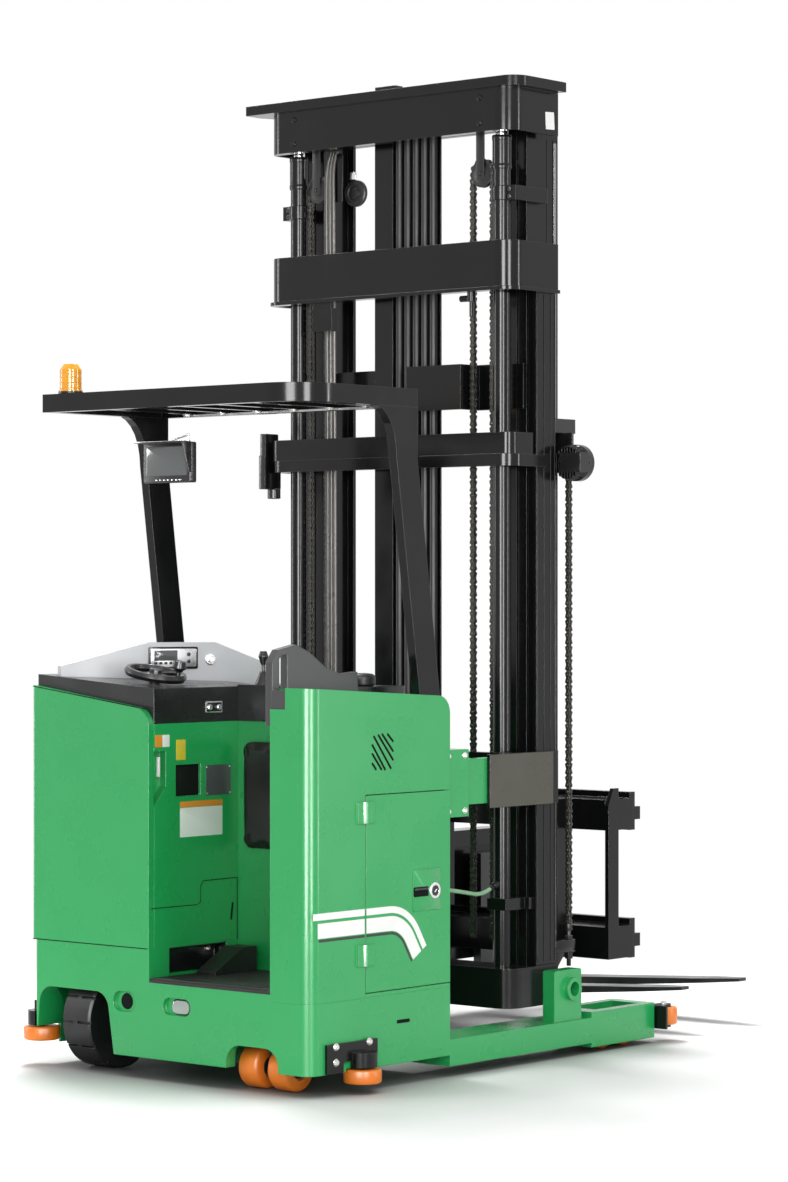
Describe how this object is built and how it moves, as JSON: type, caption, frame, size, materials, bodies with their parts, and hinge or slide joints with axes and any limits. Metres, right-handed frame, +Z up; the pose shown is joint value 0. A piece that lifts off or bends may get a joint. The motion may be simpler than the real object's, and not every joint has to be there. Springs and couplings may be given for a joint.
{
  "type": "stand-up turret truck",
  "caption": "Stand-up turret truck: straddle legs, overhead guard, telescoping mast, and a traversing head whose forks swing from side to side.",
  "frame": {"origin": "on the floor under the middle of the truck's bounding box", "axes": "+X from the operator's end towards the forks, +Y to the driver's left, +Z up"},
  "size_m": [2.544, 1.398, 3.389],
  "materials": {
    "green_paint": "gloss",
    "black_paint": "satin",
    "fork_steel": "satin",
    "bare_steel": "brushed",
    "chromed_steel": "polished",
    "chain_steel": "oiled",
    "wheel_iron": "painted",
    "black_rubber": "matte",
    "green_rubber": "satin",
    "tyre_rubber": "matte",
    "orange_polyurethane": "satin",
    "black_plastic": "textured",
    "grey_plastic": "satin",
    "screen_plastic": "gloss",
    "amber_plastic": "gloss"
  },
  "bodies": {
    "truck": {"chassis_frame": "green_paint", "left_housing": "green_paint", "rear_cover": "green_paint", "right_housing": "green_paint", "battery": "black_plastic", "dash": "black_plastic", "instrument_board": "grey_plastic", "control_tray": "black_plastic", "arm_pad": "black_rubber", "grab_rail": "black_plastic", "floor_mat": "black_rubber", "pedal": "black_rubber", "front_pad": "black_rubber", "joystick": "black_plastic", "right_leg": "green_paint", "left_leg": "green_paint", "rear_roller_brackets": "black_paint", "front_roller_brackets": "black_paint", "mast_foot": "black_paint", "outer_ties": "black_paint", "outer_rails": "black_paint", "lift_barrels": "black_paint", "mast_arms": "green_paint", "overhead_guard": "black_paint", "guard_pillars": "black_paint", "beacon": "amber_plastic", "monitor": "screen_plastic", "work_lights": "black_plastic", "front_chains": "chain_steel", "guard_bars": "black_paint", "lift_hose": "green_rubber"},
    "door": {"battery_door": "green_paint"},
    "steering_wheel": {"steering_wheel": "black_plastic"},
    "drive_steering": {"drive_unit": "wheel_iron"},
    "drive_wheel": {"drive_tyre": "tyre_rubber", "drive_rim": "wheel_iron"},
    "caster": {"caster_yoke": "wheel_iron"},
    "caster_wheels": {"caster_wheels": "orange_polyurethane"},
    "right_load_wheel_rear": {"right_load_wheel_rear": "orange_polyurethane"},
    "right_load_wheel_front": {"right_load_wheel_front": "orange_polyurethane"},
    "left_load_wheel_rear": {"left_load_wheel_rear": "orange_polyurethane"},
    "left_load_wheel_front": {"left_load_wheel_front": "orange_polyurethane"},
    "rear_right_roller": {"rear_right_roller": "orange_polyurethane"},
    "front_right_roller": {"front_right_roller": "orange_polyurethane"},
    "rear_left_roller": {"rear_left_roller": "orange_polyurethane"},
    "front_left_roller": {"front_left_roller": "orange_polyurethane"},
    "mast_middle": {"mid_rails": "black_paint", "top_beam": "black_paint", "lift_rods": "chromed_steel", "rear_chains": "chain_steel", "hose_trunk": "black_paint", "mast_hoses": "black_rubber", "hose_beam": "black_paint"},
    "mast_inner": {"inner_rails": "black_paint", "inner_beams": "black_paint"},
    "carriage": {"traverse_frame": "black_paint"},
    "head": {"traverse_head": "black_paint"},
    "fork_assembly": {"fork_carrier": "black_paint", "forks": "fork_steel"}
  },
  "joints": [
    {"name": "door_hinge", "type": "hinge", "parent": "truck", "child": "door", "pos_m": [-0.985, -0.632, 0], "axis": [0, 0, -1], "range_deg": [0, 110]},
    {"name": "steering", "type": "hinge", "parent": "truck", "child": "steering_wheel", "pos_m": [-1.059, 0.245, 1.334], "axis": [0, -0.2079, 0.9781], "continuous": true},
    {"name": "drive_steer", "type": "hinge", "parent": "truck", "child": "drive_steering", "pos_m": [-1.093, 0.427, 0], "axis": [0, 0, 1], "range_deg": [-90, 90]},
    {"name": "drive_spin", "type": "hinge", "parent": "drive_steering", "child": "drive_wheel", "pos_m": [-1.093, 0.427, 0.165], "axis": [0, 1, 0], "continuous": true},
    {"name": "caster_swivel", "type": "hinge", "parent": "truck", "child": "caster", "pos_m": [-1.08, -0.374, 0], "axis": [0, 0, 1], "continuous": true},
    {"name": "caster_spin", "type": "hinge", "parent": "caster", "child": "caster_wheels", "pos_m": [-1.137, -0.374, 0.072], "axis": [0, 1, 0], "continuous": true},
    {"name": "right_load_spin_rear", "type": "hinge", "parent": "truck", "child": "right_load_wheel_rear", "pos_m": [0.36, -0.526, 0.058], "axis": [0, 1, 0], "continuous": true},
    {"name": "right_load_spin_front", "type": "hinge", "parent": "truck", "child": "right_load_wheel_front", "pos_m": [0.486, -0.526, 0.058], "axis": [0, 1, 0], "continuous": true},
    {"name": "left_load_spin_rear", "type": "hinge", "parent": "truck", "child": "left_load_wheel_rear", "pos_m": [0.36, 0.526, 0.058], "axis": [0, 1, 0], "continuous": true},
    {"name": "left_load_spin_front", "type": "hinge", "parent": "truck", "child": "left_load_wheel_front", "pos_m": [0.486, 0.526, 0.058], "axis": [0, 1, 0], "continuous": true},
    {"name": "rear_right_roll", "type": "hinge", "parent": "truck", "child": "rear_right_roller", "pos_m": [-1.013, -0.637, 0.055], "axis": [0, 0, 1], "continuous": true},
    {"name": "front_right_roll", "type": "hinge", "parent": "truck", "child": "front_right_roller", "pos_m": [0.671, -0.612, 0.091], "axis": [0, 0, 1], "continuous": true},
    {"name": "rear_left_roll", "type": "hinge", "parent": "truck", "child": "rear_left_roller", "pos_m": [-1.21, 0.637, 0.109], "axis": [0, 0, 1], "continuous": true},
    {"name": "front_left_roll", "type": "hinge", "parent": "truck", "child": "front_left_roller", "pos_m": [0.671, 0.612, 0.091], "axis": [0, 0, 1], "continuous": true},
    {"name": "mast_lift", "type": "slide", "parent": "truck", "child": "mast_middle", "axis": [0, 0, 1], "range_m": [0, 2.1]},
    {"name": "inner_lift", "type": "slide", "parent": "mast_middle", "child": "mast_inner", "axis": [0, 0, 1], "range_m": [0, 2.1]},
    {"name": "carriage_lift", "type": "slide", "parent": "mast_inner", "child": "carriage", "axis": [0, 0, 1], "range_m": [0, 2.1]},
    {"name": "head_traverse", "type": "slide", "parent": "carriage", "child": "head", "axis": [0, -1, 0], "range_m": [0, 0.9]},
    {"name": "fork_swing", "type": "hinge", "parent": "head", "child": "fork_assembly", "pos_m": [1.039, 0.45, 0], "axis": [0, 0, 1], "range_deg": [0, 180]}
  ],
  "couplings": [
    {"joint": "inner_lift", "follows": "mast_lift", "ratio": 1}
  ]
}
